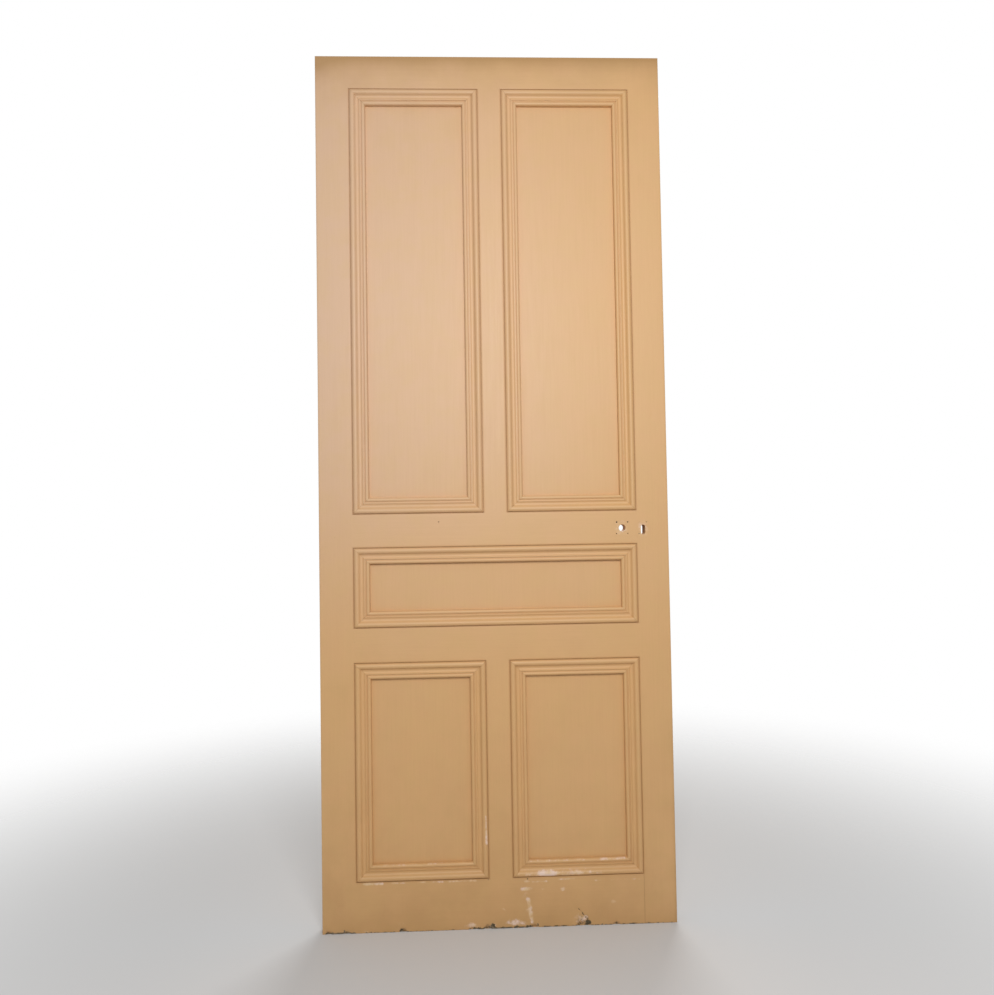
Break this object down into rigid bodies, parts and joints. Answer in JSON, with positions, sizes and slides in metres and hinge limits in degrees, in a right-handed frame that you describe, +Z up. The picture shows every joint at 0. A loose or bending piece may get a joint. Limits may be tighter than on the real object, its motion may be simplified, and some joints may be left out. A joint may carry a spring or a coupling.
{
  "type": "panelled door leaf",
  "caption": "Upright painted wooden door leaf with flat panels in bold mitred mouldings, a spindle hole and a keyhole near the lock edge.",
  "frame": {"origin": "under the middle of the leaf, at its bottom edge and halfway through its thickness", "axes": "+X across the leaf towards the lock edge, +Y through the leaf towards its back, +Z up; the front looks toward -Y"},
  "size_m": [0.86, 0.046, 2.15],
  "materials": {
    "framing_paint": "brushed peach ochre oil paint on softwood, satin, scuffed and chipped low down",
    "moulding_paint": "brushed peach ochre oil paint on softwood, satin, worn through on the lowest mouldings",
    "panel_paint": "brushed peach ochre oil paint on softwood, satin",
    "peg_wood": "hardwood pegs, painted over where they show on the back"
  },
  "bodies": {
    "root": {"hinge_stile": "framing_paint", "lock_stile": "framing_paint", "top_rail": "framing_paint", "lock_rail": "framing_paint", "middle_rail": "framing_paint", "bottom_rail": "framing_paint", "upper_muntin": "framing_paint", "lower_muntin": "framing_paint", "upper_left_panel": "panel_paint", "upper_right_panel": "panel_paint", "middle_panel": "panel_paint", "lower_left_panel": "panel_paint", "lower_right_panel": "panel_paint", "upper_left_moulding_bottom": "moulding_paint", "upper_left_moulding_top": "moulding_paint", "upper_left_moulding_left": "moulding_paint", "upper_left_moulding_right": "moulding_paint", "upper_right_moulding_bottom": "moulding_paint", "upper_right_moulding_top": "moulding_paint", "upper_right_moulding_left": "moulding_paint", "upper_right_moulding_right": "moulding_paint", "middle_moulding_bottom": "moulding_paint", "middle_moulding_top": "moulding_paint", "middle_moulding_left": "moulding_paint", "middle_moulding_right": "moulding_paint", "lower_left_moulding_bottom": "moulding_paint", "lower_left_moulding_top": "moulding_paint", "lower_left_moulding_left": "moulding_paint", "lower_left_moulding_right": "moulding_paint", "lower_right_moulding_bottom": "moulding_paint", "lower_right_moulding_top": "moulding_paint", "lower_right_moulding_left": "moulding_paint", "lower_right_moulding_right": "moulding_paint", "stile_pegs": "peg_wood", "muntin_pegs": "peg_wood"}
  },
  "joints": []
}
